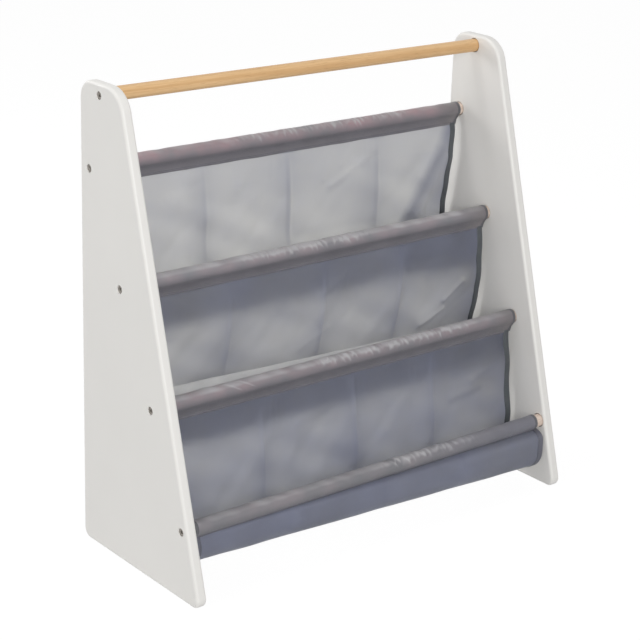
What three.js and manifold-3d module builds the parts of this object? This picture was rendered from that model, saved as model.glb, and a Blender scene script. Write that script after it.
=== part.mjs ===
// Sling bookshelf: two painted side boards, five round wooden rods and three cloth pockets.
// Millimetres, +Z up, front towards -Y. The origin is on the floor under the middle of the piece.
// Outlines are drawn in a side view: "forward" is measured from the rear edge of the boards.
import * as THREE from "three";
import { mergeVertices } from "three/addons/utils/BufferGeometryUtils.js";
import Module from "manifold-3d";

// Side boards
const overallWidth = 640;
const panelHeight = 620;
const panelThickness = 15;
const footDepth = 263; // to the corner, before it is rounded
const topDepth = 87; // to the corner, before it is rounded
const footRearRadius = 13;
const footFrontRadius = 11;
const topFrontRadius = 38;
const topRearRadius = 24;
const edgeRounding = 3;

// Rods: the bare handle on top, then four that carry the cloth
const rodDiameter = 18;
const rodEndChamfer = 1;
const socketDepth = 6;
const socketClearance = 0.3;
const handleBelowTop = 15;
const firstSlingBelowTop = 111;
const firstSlingFromRear = 20;
const lastSlingHeight = 93;
const lastSlingFromFront = 14;
const slingRodCount = 4;

// Screws through the boards into the rod ends
const screwLength = 42;
const screwShankDiameter = 4.4;
const screwPointLength = 5;
const screwHeadDiameter = 10.4;
const screwHeadRim = 0.8;
const screwHeadCone = 3;
const screwHeadSink = 1.2;
const crossRecessSpan = 5.6;
const crossRecessWidth = 1.3;
const crossRecessDepth = 1.8;
const screwClearance = 0.3;
const pilotRunout = 3;

// Cloth
const clothThickness = 1;
const sleeveWall = 0.8;
const sleeveClearance = 0.3;
const sleevePlay = 12; // how much shorter a sleeve is than the space between the boards
const sleeveShifts = [0.5, 2.5, 3, -3]; // how far each sleeve has slid along its rod
const sleeveLeaveAngle = Math.PI / 5; // where the cloth leaves the rod, from straight down
const tailNeck = 2.2; // from the underside of the sleeve to the top of its flat tail
const tailLengths = [9.6, 9.6, 9.6, 3];
const tailEdgeRounding = 0.9;
const slackSleeve = 2; // counted from 0 at the top: this sleeve is loose, and its spare cloth stands up
const slackRise = 13;
const slackRunShare = 0.82; // of the sleeve's length, from the left
const slackThickness = 1.6;
const slackLean = Math.PI / 6; // to the rear
const seamGap = 0.3;
const pocketPlay = 16; // how much narrower a pocket is than the space between the boards
const hemWidth = 9;
const hemThickness = 1.8;

// Pockets, top to bottom
const pocketDropsLeft = [71, 68, 55]; // lowest point below the front rod's axis
const pocketDropsRight = [87, 79, 74];
const pocketDropsMiddle = [0, 7, 0]; // extra sag half way across
const pocketRearSets = [-12, -7.5, 15]; // rearmost cloth from the rear rod's axis
const pocketFrontBulgesLeft = [0, 0, 3]; // foremost cloth from the seam under the front rod
const pocketFrontBulgesRight = [0, 0, 17];
const pocketRearShifts = [-2, 2.5, 3]; // sideways, at the seam under the rear rod
const pocketFrontShiftsLeft = [2.5, 3, -6]; // sideways, at the seam under the front rod
const pocketFrontShiftsRight = [2.5, 3, 6];
const wallBulges = [0, 5, 0]; // belly of the hanging wall

// Folds in the hanging walls: upright creases from packing, and a soft diagonal fold at the right
const creasePanels = 4;
const creaseRise = 2.6;
const diagonalRises = [5, 6, 4];
const diagonalWidths = [18, 15, 22];
const diagonalTopShares = [0.953, 0.937, 0.955]; // across the cloth
const diagonalFootShares = [0.893, 0.825, 0.87];
const diagonalStartShares = [0.2, 0.5, 0.23]; // down the wall
const diagonalEndShares = [0.75, 0.84, 0.36];

// Mesh fineness
const roundSteps = 24;
const screwSteps = 16;
const cornerSteps = 8;
const roundingSteps = 3;
const plainColumns = 15; // up to the last crease
const foldedColumns = 9; // from there to the right, where the diagonal fold lies
const wallRows = 9;
const bottomRows = 9;
const riseRows = 3;
const bulgePower = 3; // how long the front stays out before it turns in to its seam
const probeShare = 0.004; // step for measuring a slope along the cloth
const weldDistance = 0.001;
const overrun = 2; // how far every cutter reaches past what it cuts

const wasm = await Module();
wasm.setup();

const rodRadius = rodDiameter / 2;
const frontSlope = (footDepth - topDepth) / panelHeight;
const frontSlant = Math.hypot(1, frontSlope);
const overallDepth = footDepth - frontSlope * footFrontRadius - footFrontRadius * (frontSlant - 1);
const innerWidth = overallWidth - 2 * panelThickness;
const sleeveLength = innerWidth - sleevePlay;
const pocketWidth = innerWidth - pocketPlay;
const sleeveRadius = rodRadius + sleeveClearance + sleeveWall;
const seamOffset = (hemThickness + seamGap) / 2;
const tailThickness = 2 * seamOffset + clothThickness;

const paintedBoard = new THREE.MeshStandardMaterial({ color: 0xe9e9e5, roughness: 0.5, metalness: 0 });
const bareWood = new THREE.MeshStandardMaterial({ color: 0xdcb27c, roughness: 0.6, metalness: 0 });
const steel = new THREE.MeshStandardMaterial({ color: 0x8d8a84, roughness: 0.35, metalness: 0.9 });
const greyCloth = new THREE.MeshStandardMaterial({ color: 0x8c8c91, roughness: 0.85, metalness: 0 });
const darkCloth = new THREE.MeshStandardMaterial({ color: 0x6c6d74, roughness: 0.85, metalness: 0 });

const mix = THREE.MathUtils.lerp;
const smooth = (share) => THREE.MathUtils.smoothstep(share, 0, 1);

// A closed geometry as a solid that can be joined and cut.
function solidFrom(geometry) {
  const bare = new THREE.BufferGeometry();
  bare.setAttribute("position", geometry.getAttribute("position"));
  bare.setIndex(geometry.index);
  const welded = mergeVertices(bare, weldDistance);
  const vertProperties = welded.attributes.position.array;
  const triVerts = new Uint32Array(welded.index.array);
  return new wasm.Manifold(new wasm.Mesh({ numProp: 3, vertProperties, triVerts }));
}

function geometryFrom(solid) {
  const { vertProperties, triVerts } = solid.getMesh();
  const geometry = new THREE.BufferGeometry();
  geometry.setAttribute("position", new THREE.BufferAttribute(vertProperties, 3));
  geometry.setIndex(new THREE.BufferAttribute(triVerts, 1));
  geometry.computeVertexNormals();
  return geometry;
}

function cutAway(geometry, cutters) {
  const cut = cutters.reduce((solid, cutter) => solid.subtract(solidFrom(cutter)), solidFrom(geometry));
  return geometryFrom(cut);
}

function namedMesh(name, geometry, material) {
  const mesh = new THREE.Mesh(geometry, material);
  mesh.name = name;
  return mesh;
}

// The world place of a point of the side view.
function place(x, forward, height) {
  return new THREE.Vector3(x, overallDepth / 2 - forward, height);
}

// A round piece turned about the width axis, its profile's far end pointing to the given side.
function turned(profile, steps, side) {
  const points = profile.map(([radius, along]) => new THREE.Vector2(radius, along));
  return new THREE.LatheGeometry(points, steps).rotateZ((-side * Math.PI) / 2);
}

// A side-view outline stretched along the width axis from xFrom, with its edges rounded if asked.
function extruded(shape, xFrom, length, arcSteps, rounding = 0) {
  const geometry = new THREE.ExtrudeGeometry(shape, {
    depth: length - 2 * rounding,
    curveSegments: arcSteps / 2,
    bevelEnabled: rounding > 0,
    bevelThickness: rounding,
    bevelSize: rounding,
    bevelOffset: -rounding,
    bevelSegments: roundingSteps,
  });
  geometry.translate(0, 0, rounding - length);
  const axes = new THREE.Matrix4().makeBasis(
    new THREE.Vector3(0, -1, 0),
    new THREE.Vector3(0, 0, 1),
    new THREE.Vector3(-1, 0, 0),
  );
  return geometry.applyMatrix4(axes).translate(xFrom, 0, 0);
}

// An outline through the given corners, each rounded to its own radius.
function roundedOutline(corners) {
  const shape = new THREE.Shape();
  corners.forEach(({ at, radius }, index) => {
    const before = corners.at(index - 1).at;
    const after = corners[(index + 1) % corners.length].at;
    const toBefore = before.clone().sub(at).normalize();
    const toAfter = after.clone().sub(at).normalize();
    const half = toBefore.angleTo(toAfter) / 2;
    const centre = toBefore.clone().add(toAfter).setLength(radius / Math.sin(half)).add(at);
    const from = toBefore.multiplyScalar(radius / Math.tan(half)).add(at).sub(centre);
    const to = toAfter.multiplyScalar(radius / Math.tan(half)).add(at).sub(centre);
    shape.absarc(centre.x, centre.y, radius, from.angle(), to.angle(), false);
  });
  return shape;
}

// Rod places: the handle in the middle of the top, the others evenly spaced down a slanting line.
const handle = { forward: topDepth / 2, height: panelHeight - handleBelowTop };
const firstSling = new THREE.Vector2(firstSlingFromRear, panelHeight - firstSlingBelowTop);
const lastSlingForward = footDepth - frontSlope * lastSlingHeight - lastSlingFromFront;
const lastSling = new THREE.Vector2(lastSlingForward, lastSlingHeight);
const slingRods = Array.from({ length: slingRodCount }, (_, index) => {
  const { x, y } = firstSling.clone().lerp(lastSling, index / (slingRodCount - 1));
  return { forward: x, height: y };
});

// Side boards: one blind socket for each rod on the inside, one screw hole on the outside.
function screwHole() {
  const radius = screwHeadDiameter / 2 + screwClearance;
  const shaft = screwShankDiameter / 2 + screwClearance;
  const coneTop = -screwHeadSink - screwHeadRim - screwClearance;
  return [
    [0, -panelThickness],
    [shaft, -panelThickness],
    [shaft, coneTop - screwHeadCone],
    [radius, coneTop],
    [radius, overrun],
    [0, overrun],
  ];
}

function sidePanel(side) {
  const outline = roundedOutline([
    { at: new THREE.Vector2(0, 0), radius: footRearRadius },
    { at: new THREE.Vector2(footDepth, 0), radius: footFrontRadius },
    { at: new THREE.Vector2(topDepth, panelHeight), radius: topFrontRadius },
    { at: new THREE.Vector2(0, panelHeight), radius: topRearRadius },
  ]);
  const outerFace = (side * overallWidth) / 2;
  const leftFace = Math.min(outerFace, outerFace - side * panelThickness);
  const board = extruded(outline, leftFace, panelThickness, cornerSteps, edgeRounding);
  board.translate(0, overallDepth / 2, 0);
  const socketRadius = rodRadius + socketClearance;
  const socketFloor = socketDepth - panelThickness;
  const socket = [
    [0, -panelThickness - overrun],
    [socketRadius, -panelThickness - overrun],
    [socketRadius, socketFloor],
    [0, socketFloor],
  ];
  const cutters = [handle, ...slingRods].flatMap(({ forward, height }) =>
    [turned(socket, roundSteps, side), turned(screwHole(), screwSteps, side)].map((cutter) =>
      cutter.translate(...place(outerFace, forward, height)),
    ),
  );
  return cutAway(board, cutters);
}

// Rods: round bars with eased ends and a pilot hole for the screw at each end.
const rodHalfLength = innerWidth / 2 + socketDepth - socketClearance;
const screwTip = overallWidth / 2 - screwHeadSink - screwLength;

function rod({ forward, height }) {
  const bar = turned(
    [
      [0, -rodHalfLength],
      [rodRadius - rodEndChamfer, -rodHalfLength],
      [rodRadius, rodEndChamfer - rodHalfLength],
      [rodRadius, rodHalfLength - rodEndChamfer],
      [rodRadius - rodEndChamfer, rodHalfLength],
      [0, rodHalfLength],
    ],
    roundSteps,
    1,
  );
  const pilotRadius = screwShankDiameter / 2 + screwClearance;
  const pilot = [
    [0, screwTip - pilotRunout],
    [pilotRadius, screwTip],
    [pilotRadius, rodHalfLength + overrun],
    [0, rodHalfLength + overrun],
  ];
  const bored = cutAway(bar, [turned(pilot, screwSteps, 1), turned(pilot, screwSteps, -1)]);
  return bored.translate(...place(0, forward, height));
}

// Screws: countersunk, with a cross recess in the head.
function crossOutline() {
  const reach = crossRecessSpan / 2;
  const half = crossRecessWidth / 2;
  const centre = new THREE.Vector2();
  const arm = [
    new THREE.Vector2(reach, -half),
    new THREE.Vector2(reach, half),
    new THREE.Vector2(half, half),
  ];
  const armAngles = [0, 1, 2, 3].map((quarter) => (quarter * Math.PI) / 2);
  return new THREE.Shape(
    armAngles.flatMap((angle) => arm.map((corner) => corner.clone().rotateAround(centre, angle))),
  );
}

function screw(side, { forward, height }) {
  const shank = screwShankDiameter / 2;
  const head = screwHeadDiameter / 2;
  const body = turned(
    [
      [0, -screwLength],
      [shank, screwPointLength - screwLength],
      [shank, -screwHeadRim - screwHeadCone],
      [head, -screwHeadRim],
      [head, 0],
      [0, 0],
    ],
    screwSteps,
    side,
  );
  const crossFrom = side > 0 ? -crossRecessDepth : -overrun;
  const cross = extruded(crossOutline(), crossFrom, crossRecessDepth + overrun, cornerSteps);
  const headTop = side * (overallWidth / 2 - screwHeadSink);
  return cutAway(body, [cross]).translate(...place(headTop, forward, height));
}

// Sleeves: cloth wrapped round a rod and sewn to itself in a flat tail below.
function sleeve(index) {
  const { forward, height } = slingRods[index];
  const half = tailThickness / 2;
  const tailTop = -sleeveRadius - tailNeck;
  const tailFoot = tailTop - tailLengths[index];
  const leave = sleeveLeaveAngle - Math.PI / 2;
  const outline = new THREE.Shape();
  outline.absarc(0, 0, sleeveRadius, leave, Math.PI - leave, false);
  outline.lineTo(-half, tailTop);
  outline.lineTo(-half, tailFoot + tailEdgeRounding);
  outline.lineTo(tailEdgeRounding - half, tailFoot);
  outline.lineTo(half - tailEdgeRounding, tailFoot);
  outline.lineTo(half, tailFoot + tailEdgeRounding);
  outline.lineTo(half, tailTop);
  const bore = new THREE.Path().absarc(0, 0, rodRadius + sleeveClearance, 0, 2 * Math.PI, false);
  outline.holes.push(bore);
  const leftEnd = sleeveShifts[index] - sleeveLength / 2;
  const tube = extruded(outline, leftEnd, sleeveLength, roundSteps);
  const isSlack = index === slackSleeve;
  const whole = isSlack ? geometryFrom(solidFrom(tube).add(solidFrom(slackFold(leftEnd)))) : tube;
  return whole.translate(...place(0, forward, height));
}

// Spare cloth of a loose sleeve: a flat fold behind the rod's top that runs out towards the right.
function slackFold(leftEnd) {
  const root = sleeveRadius - sleeveWall / 2;
  const outline = new THREE.Shape([
    new THREE.Vector2(leftEnd, root),
    new THREE.Vector2(leftEnd + slackRunShare * sleeveLength, root),
    new THREE.Vector2(leftEnd, root + slackRise),
  ]);
  const fold = new THREE.ExtrudeGeometry(outline, { depth: slackThickness, bevelEnabled: false });
  return fold.translate(0, 0, -slackThickness / 2).rotateX(Math.PI / 2 - slackLean);
}

// Pockets: cloth that hangs from one rod, turns round the bottom and rises to the next rod.
function seamHeight(index) {
  return slingRods[index].height - sleeveRadius - tailNeck - tailLengths[index] - seamGap;
}

// The side view of a pocket at one place across, from 0 at the left edge to 1 at the right.
function pocketSection(index, across) {
  const rear = slingRods[index];
  const front = slingRods[index + 1];
  const rearTop = new THREE.Vector2(rear.forward + seamOffset, seamHeight(index));
  const frontTop = new THREE.Vector2(front.forward - seamOffset, seamHeight(index + 1));
  const sag = Math.sin(Math.PI * across) * pocketDropsMiddle[index];
  const drop = mix(pocketDropsLeft[index], pocketDropsRight[index], across) + sag;
  const bulge = mix(pocketFrontBulgesLeft[index], pocketFrontBulgesRight[index], across);
  const rearmost = rear.forward + pocketRearSets[index];
  const foremost = frontTop.x + bulge;
  const radius = (foremost - rearmost) / 2;
  const centre = new THREE.Vector2((foremost + rearmost) / 2, front.height - drop + radius);
  return { rearTop, frontTop, centre, radius, rearmost, foremost };
}

// How far the folds lift the wall at a place across and a share of the way down it.
function foldRise(index, across, share, wallLength) {
  const crease = creaseRise * (1 - Math.abs(Math.sin(Math.PI * creasePanels * across))) ** 2;
  const onWall = (over, down) => new THREE.Vector3(over * pocketWidth, down * wallLength, 0);
  const top = onWall(diagonalTopShares[index], diagonalStartShares[index]);
  const foot = onWall(diagonalFootShares[index], diagonalEndShares[index]);
  const here = onWall(across, share);
  const nearest = new THREE.Line3(top, foot).closestPointToPoint(here, true, new THREE.Vector3());
  const away = nearest.distanceTo(here);
  return crease + diagonalRises[index] * Math.exp(-((away / diagonalWidths[index]) ** 2));
}

// A point of the cloth. The stage runs from 0 to 1 down the wall, to 2 round the bottom, to 3 up the front.
function pocketPoint(index, across, stage) {
  const { rearTop, frontTop, centre, radius, rearmost, foremost } = pocketSection(index, across);
  const frontShift = mix(pocketFrontShiftsLeft[index], pocketFrontShiftsRight[index], across);
  const x = (across - 1 / 2) * pocketWidth + mix(pocketRearShifts[index], frontShift, stage / 3);
  if (stage < 1) {
    const belly = Math.sin(Math.PI * stage);
    const lift = wallBulges[index] + foldRise(index, across, stage, rearTop.y - centre.y);
    const forward = mix(rearTop.x, rearmost, smooth(stage)) + lift * belly;
    return place(x, forward, mix(rearTop.y, centre.y, stage));
  }
  if (stage < 2) {
    const angle = (stage - 1) * Math.PI;
    return place(x, centre.x - radius * Math.cos(angle), centre.y - radius * Math.sin(angle));
  }
  const bulge = (foremost - frontTop.x) * (1 - (stage - 2) ** bulgePower);
  return place(x, frontTop.x + bulge, mix(centre.y, frontTop.y, stage - 2));
}

function evenSteps(from, to, count) {
  return Array.from({ length: count }, (_, index) => mix(from, to, index / count));
}

// Cloth of even thickness over the given places across the pocket.
function clothStrip(index, acrosses, thickness) {
  const stages = [
    ...evenSteps(0, 1, wallRows),
    ...evenSteps(1, 2, bottomRows),
    ...evenSteps(2, 3, riseRows),
    3,
  ];
  const rows = stages.length - 1;
  const columns = acrosses.length - 1;
  const positions = [];
  for (const face of [1, -1]) {
    stages.forEach((stage) => {
      acrosses.forEach((across) => {
        const below = pocketPoint(index, across, Math.min(stage + probeShare, 3));
        const above = pocketPoint(index, across, Math.max(stage - probeShare, 0));
        const right = pocketPoint(index, across + probeShare, stage);
        const left = pocketPoint(index, across - probeShare, stage);
        const outward = right.sub(left).cross(below.sub(above));
        if (stage === 0 || stage === 3) {
          outward.setZ(0); // both seam edges are cut level
        }
        positions.push(...pocketPoint(index, across, stage).add(outward.setLength((face * thickness) / 2)));
      });
    });
  }
  const stride = columns + 1;
  const layer = stride * (rows + 1);
  const triangles = [];
  const quad = (a, b, c, d) => triangles.push(a, b, c, a, c, d);
  for (let row = 0; row < rows; row++) {
    for (let column = 0; column < columns; column++) {
      const corner = row * stride + column;
      quad(corner + 1, corner + 1 + stride, corner + stride, corner);
      quad(layer + corner + 1, layer + corner, layer + corner + stride, layer + corner + 1 + stride);
    }
    const leftEdge = row * stride;
    const rightEdge = leftEdge + columns;
    quad(leftEdge, leftEdge + stride, layer + leftEdge + stride, layer + leftEdge);
    quad(rightEdge, layer + rightEdge, layer + rightEdge + stride, rightEdge + stride);
  }
  for (let column = 0; column < columns; column++) {
    const bottom = rows * stride + column;
    quad(column, layer + column, layer + column + 1, column + 1);
    quad(bottom, bottom + 1, layer + bottom + 1, layer + bottom);
  }
  const geometry = new THREE.BufferGeometry();
  geometry.setAttribute("position", new THREE.Float32BufferAttribute(positions, 3));
  geometry.setIndex(triangles);
  geometry.computeVertexNormals();
  return geometry;
}

const bookshelf = new THREE.Group();
const sides = [
  { side: -1, label: "left" },
  { side: 1, label: "right" },
];

sides.forEach(({ side, label }) => {
  bookshelf.add(namedMesh(`side_panel_${label}`, sidePanel(side), paintedBoard));
  bookshelf.add(namedMesh(`handle_screw_${label}`, screw(side, handle), steel));
  slingRods.forEach((slingRod, index) => {
    bookshelf.add(namedMesh(`sling_screw_${index + 1}_${label}`, screw(side, slingRod), steel));
  });
});

bookshelf.add(namedMesh("handle_rod", rod(handle), bareWood));
slingRods.forEach((slingRod, index) => {
  bookshelf.add(namedMesh(`sling_rod_${index + 1}`, rod(slingRod), bareWood));
  bookshelf.add(namedMesh(`rod_sleeve_${index + 1}`, sleeve(index), darkCloth));
});

const hemShare = hemWidth / pocketWidth;
const clothFrom = (hemWidth + seamGap) / pocketWidth;
const lastCrease = 1 - 1 / creasePanels;
const clothAcrosses = [
  ...evenSteps(clothFrom, lastCrease, plainColumns),
  ...evenSteps(lastCrease, 1 - clothFrom, foldedColumns),
  1 - clothFrom,
];
for (let index = 0; index < slingRodCount - 1; index++) {
  const label = index + 1;
  const cloth = clothStrip(index, clothAcrosses, clothThickness);
  bookshelf.add(namedMesh(`pocket_cloth_${label}`, cloth, greyCloth));
  const leftHem = clothStrip(index, [0, hemShare], hemThickness);
  const rightHem = clothStrip(index, [1 - hemShare, 1], hemThickness);
  bookshelf.add(namedMesh(`pocket_hem_${label}_left`, leftHem, darkCloth));
  bookshelf.add(namedMesh(`pocket_hem_${label}_right`, rightHem, darkCloth));
}

export default bookshelf;
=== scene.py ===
import math

import bmesh
import bpy
import numpy as np
from mathutils import Matrix, Quaternion, Vector


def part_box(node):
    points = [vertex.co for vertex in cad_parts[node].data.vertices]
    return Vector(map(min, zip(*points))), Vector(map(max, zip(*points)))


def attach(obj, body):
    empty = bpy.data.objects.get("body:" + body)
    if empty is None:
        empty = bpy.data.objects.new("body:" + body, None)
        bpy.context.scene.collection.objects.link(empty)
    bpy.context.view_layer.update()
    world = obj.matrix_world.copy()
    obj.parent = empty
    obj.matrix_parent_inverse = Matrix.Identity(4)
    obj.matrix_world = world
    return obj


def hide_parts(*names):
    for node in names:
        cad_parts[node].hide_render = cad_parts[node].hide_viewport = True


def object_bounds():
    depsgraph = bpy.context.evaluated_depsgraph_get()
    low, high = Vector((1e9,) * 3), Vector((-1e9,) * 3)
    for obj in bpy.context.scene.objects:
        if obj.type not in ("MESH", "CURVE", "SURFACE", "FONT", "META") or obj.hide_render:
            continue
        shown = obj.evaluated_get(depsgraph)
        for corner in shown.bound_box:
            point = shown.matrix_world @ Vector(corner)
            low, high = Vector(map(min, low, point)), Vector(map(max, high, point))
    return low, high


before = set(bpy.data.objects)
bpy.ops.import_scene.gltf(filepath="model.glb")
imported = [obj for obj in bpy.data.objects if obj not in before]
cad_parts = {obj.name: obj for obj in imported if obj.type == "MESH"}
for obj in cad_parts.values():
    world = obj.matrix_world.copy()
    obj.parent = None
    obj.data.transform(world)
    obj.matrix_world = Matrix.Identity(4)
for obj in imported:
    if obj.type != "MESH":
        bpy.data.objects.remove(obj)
cad_low, cad_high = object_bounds()

# Side boards
# Two tapered boards of 15 mm fibreboard, sawn to a slant at the front, with every corner rounded
# and every edge eased, then sprayed satin white. A blind socket inside and a countersunk hole
# outside take each rod and its screw.
board_foot_depth = 0.263
board_top_depth = 0.087
board_height = cad_high.z - cad_low.z
board_thickness = 0.015
board_corner_radii = (0.013, 0.011, 0.038, 0.024)
board_corner_steps = 20
board_edge_radius = 0.0042
board_edge_steps = 8
board_rear = cad_high.y
rod_names = ["handle_rod"] + [f"sling_rod_{number}" for number in range(1, 5)]
socket_radius = 0.0102
socket_depth = 0.006
screw_hole_radius = 0.0055
screw_hole_sink = 0.0023
screw_cone_depth = 0.003
screw_shaft_radius = 0.0025
cutter_steps = 48
cut_overrun = 0.002


def rod_centre(name):
    """The middle of a rod, from its CAD node."""
    low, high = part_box(name)
    return (low + high) / 2


def set_down(name, data, place=(0, 0, 0)):
    """A new object of the scene."""
    thing = bpy.data.objects.new(name, data)
    thing.location = place
    bpy.context.scene.collection.objects.link(thing)
    return thing


def add_piece(name, mesh, material, nodes=()):
    """A finished piece of the shelf, which stands for the CAD nodes named."""
    piece = set_down(name, mesh)
    mesh.materials.append(material)
    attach(piece, "root")
    if nodes:
        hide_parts(*nodes)
    return piece


def mesh_of(name, shape):
    """The mesh of a shape that is built."""
    mesh = bpy.data.meshes.new(name)
    shape.to_mesh(mesh)
    shape.free()
    return mesh


def skin(shape, first, second):
    """Faces between two loops of corners, one of which may be a single point."""
    count = max(len(first), len(second))
    for step in range(count):
        after = (step + 1) % count
        corners = [first[step % len(first)], first[after % len(first)]]
        corners += [second[after % len(second)], second[step % len(second)]]
        shape.faces.new(list(dict.fromkeys(corners)))


def lathe_mesh(name, profile, steps):
    """A round solid about X from (along, radius) pairs that start and end on the axis."""
    shape = bmesh.new()
    rings = []
    for along, radius in profile:
        if radius == 0:
            rings.append([shape.verts.new((along, 0, 0))])
            continue
        angles = [2 * math.pi * step / steps for step in range(steps)]
        around = [(radius * math.cos(angle), radius * math.sin(angle)) for angle in angles]
        rings.append([shape.verts.new((along, *place)) for place in around])
    for first, second in zip(rings, rings[1:]):
        skin(shape, first, second)
    bmesh.ops.recalc_face_normals(shape, faces=shape.faces)
    return mesh_of(name, shape)


def board_outline():
    """The board seen from the side, as (forward, up) points with rounded corners."""
    corners = [Vector((0, 0)), Vector((board_foot_depth, 0))]
    corners += [Vector((board_top_depth, board_height)), Vector((0, board_height))]
    points = []
    for index, (corner, radius) in enumerate(zip(corners, board_corner_radii)):
        before = (corners[index - 1] - corner).normalized()
        after = (corners[(index + 1) % 4] - corner).normalized()
        half = before.angle(after) / 2
        centre = corner + (before + after).normalized() * radius / math.sin(half)
        start = corner + before * radius / math.tan(half) - centre
        turn = math.pi - 2 * half
        for step in range(board_corner_steps + 1):
            points.append(centre + Matrix.Rotation(turn * step / board_corner_steps, 2) @ start)
    return points


def cut_out(piece, cutters):
    """Cuts the cutters out of the piece and keeps the result as its mesh."""
    for cutter in cutters:
        modifier = piece.modifiers.new("hole", "BOOLEAN")
        modifier.object = cutter
        modifier.solver = "EXACT"
    bpy.context.view_layer.update()
    evaluated = piece.evaluated_get(bpy.context.evaluated_depsgraph_get())
    cut = bpy.data.meshes.new_from_object(evaluated)
    piece.modifiers.clear()
    piece.data = cut
    for cutter in cutters:
        bpy.data.objects.remove(cutter)


def soften(mesh, angle=math.radians(35)):
    """Smooth shading that breaks at edges sharper than the angle."""
    mesh.shade_smooth()
    mesh.set_sharp_from_angle(angle=angle)


class Field:
    """A socket of a material, on which Python's operators add the Math nodes."""

    def __init__(self, finish, socket):
        self.finish, self.socket = finish, socket

    def math(self, operation, *others):
        sockets = dict(enumerate((self, *others)))
        return self.finish.node("ShaderNodeMath", {"operation": operation}, sockets)

    def __add__(self, other):
        return self.math("ADD", other)

    def __radd__(self, other):
        return self.math("ADD", other)

    def __sub__(self, other):
        return self.math("SUBTRACT", other)

    def __rsub__(self, other):
        return (self * -1) + other

    def __mul__(self, other):
        return self.math("MULTIPLY", other)

    def __rmul__(self, other):
        return self.math("MULTIPLY", other)

    def __pow__(self, other):
        return self.math("POWER", other)


class Finish:
    """The nodes of a new material, or of the world: node() adds one, and surface() ends them."""

    def __init__(self, owner, output="ShaderNodeOutputMaterial"):
        self.owner = owner
        owner.use_nodes = True
        self.tree = owner.node_tree
        self.tree.nodes.clear()
        self.output = self.tree.nodes.new(output)

    def node(self, kind, settings=None, sockets=None, out=0):
        made = self.tree.nodes.new(kind)
        for key, value in (settings or {}).items():
            setattr(made, key, value)
        for key, value in (sockets or {}).items():
            if isinstance(value, Field):
                self.tree.links.new(value.socket, made.inputs[key])
            else:
                made.inputs[key].default_value = value
        return Field(self, made.outputs[out])

    def noise(self, place, scale, detail):
        """Soft random values around a half."""
        return self.node("ShaderNodeTexNoise", None, {"Vector": place, "Scale": scale, "Detail": detail})

    def stretched(self, place, scales):
        return self.node("ShaderNodeMapping", None, {"Vector": place, "Scale": scales})

    def axis(self, place, number):
        return self.node("ShaderNodeSeparateXYZ", None, {"Vector": place}, out=number)

    def measure(self, name):
        """A value that the mesh carries at each point."""
        return self.node("ShaderNodeAttribute", {"attribute_name": name}, out="Fac")

    def mixed(self, share, first, second):
        """Two colours mixed by a share from 0 to 1."""
        colours = {6: first if isinstance(first, Field) else (*first, 1)}
        colours[7] = second if isinstance(second, Field) else (*second, 1)
        settings = {"data_type": "RGBA", "clamp_factor": True}
        return self.node("ShaderNodeMix", settings, {0: share, **colours}, out=2)

    def bumped(self, height, distance, strength=1.0):
        sockets = {"Height": height, "Distance": distance, "Strength": strength}
        return self.node("ShaderNodeBump", None, sockets)

    def surface(self, shader):
        self.tree.links.new(shader.socket, self.output.inputs["Surface"])
        return self.owner


def white_paint():
    finish = Finish(bpy.data.materials.new("white_paint"))
    place = finish.node("ShaderNodeTexCoord", out=3)
    drift, peel, dust = [finish.noise(place, *look) for look in ((9, 3), (900, 2), (160, 5))]
    tone = finish.mixed(drift * 0.9, (0.815, 0.80, 0.77), (0.86, 0.845, 0.815))
    rough = drift * 0.10 + dust * 0.12 + 0.36
    relief = finish.bumped(peel * 0.7 + dust * 0.5, 0.00006, 0.35)
    sockets = {"Base Color": tone, "Roughness": rough, "Normal": relief, "Coat Weight": 0.12}
    sockets["Coat Roughness"] = 0.25
    return finish.surface(finish.node("ShaderNodeBsdfPrincipled", None, sockets))


paint = white_paint()
board_points = board_outline()
for side, label in ((-1, "left"), (1, "right")):
    outer = side * cad_high.x
    inner = outer - side * board_thickness
    blank = bmesh.new()
    loops = []
    for x in (outer, inner):
        loops.append([blank.verts.new((x, board_rear - ahead, up)) for ahead, up in board_points])
        blank.faces.new(loops[-1])
    skin(blank, *loops)
    bmesh.ops.recalc_face_normals(blank, faces=blank.faces)
    rims = [edge for edge in blank.edges if edge.verts[0].co.x == edge.verts[1].co.x]
    rounding = {"offset": board_edge_radius, "segments": board_edge_steps, "profile": 0.5}
    bmesh.ops.bevel(blank, geom=rims, affect="EDGES", **rounding)
    board_mesh = mesh_of(f"board_{label}", blank)
    board = add_piece(f"board_{label}", board_mesh, paint, [f"side_panel_{label}"])
    holes = []
    for rod_name in rod_names:
        centre = rod_centre(rod_name)
        face = abs(outer)
        sunk = face - screw_hole_sink
        screw_profile = [
            (abs(inner) - cut_overrun, 0),
            (abs(inner) - cut_overrun, screw_shaft_radius),
            (sunk - screw_cone_depth, screw_shaft_radius),
            (sunk, screw_hole_radius),
            (face + cut_overrun, screw_hole_radius),
            (face + cut_overrun, 0),
        ]
        socket_floor = abs(inner) + socket_depth
        socket_profile = [
            (abs(inner) - cut_overrun, 0),
            (abs(inner) - cut_overrun, socket_radius),
            (socket_floor, socket_radius),
            (socket_floor, 0),
        ]
        for profile in (screw_profile, socket_profile):
            sided = [(side * along, radius) for along, radius in profile]
            cutter = lathe_mesh("hole", sided, cutter_steps)
            holes.append(set_down("hole", cutter, (0, centre.y, centre.z)))
    cut_out(board, holes)
    soften(board.data)
    board.modifiers.new("flat faces stay flat", "WEIGHTED_NORMAL").keep_sharp = True

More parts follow.
